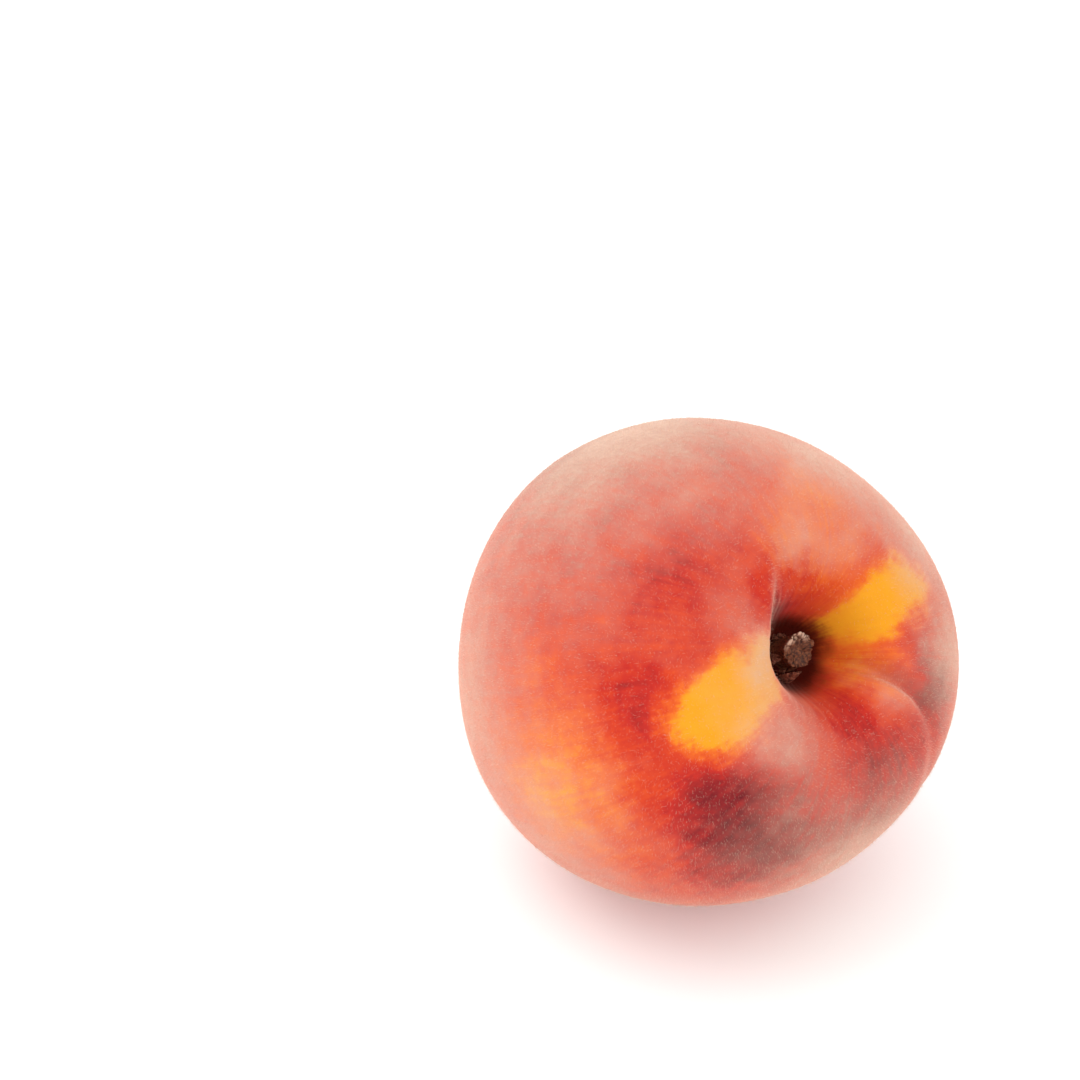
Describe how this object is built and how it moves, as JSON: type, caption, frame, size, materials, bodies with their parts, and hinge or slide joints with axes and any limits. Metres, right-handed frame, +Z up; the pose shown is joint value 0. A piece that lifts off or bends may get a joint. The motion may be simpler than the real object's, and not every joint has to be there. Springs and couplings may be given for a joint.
{
  "type": "peach",
  "caption": "Whole ripe peach lying on its cheek, with a suture, a deep stem basin and a short woody stem stub, resting on a small flat spot.",
  "frame": {"origin": "the middle of the small flat spot on the underside, which the fruit rests on", "axes": "+Z up, away from the surface; +X and -Y towards the stem basin, so that looking along +Y shows the stem stub right of the middle"},
  "size_m": [0.0774, 0.0773, 0.0755],
  "materials": {
    "peach_skin": "velvety",
    "stem_wood": "matte"
  },
  "bodies": {
    "root": {"fruit": "peach_skin", "stem_stub": "stem_wood"}
  },
  "joints": []
}
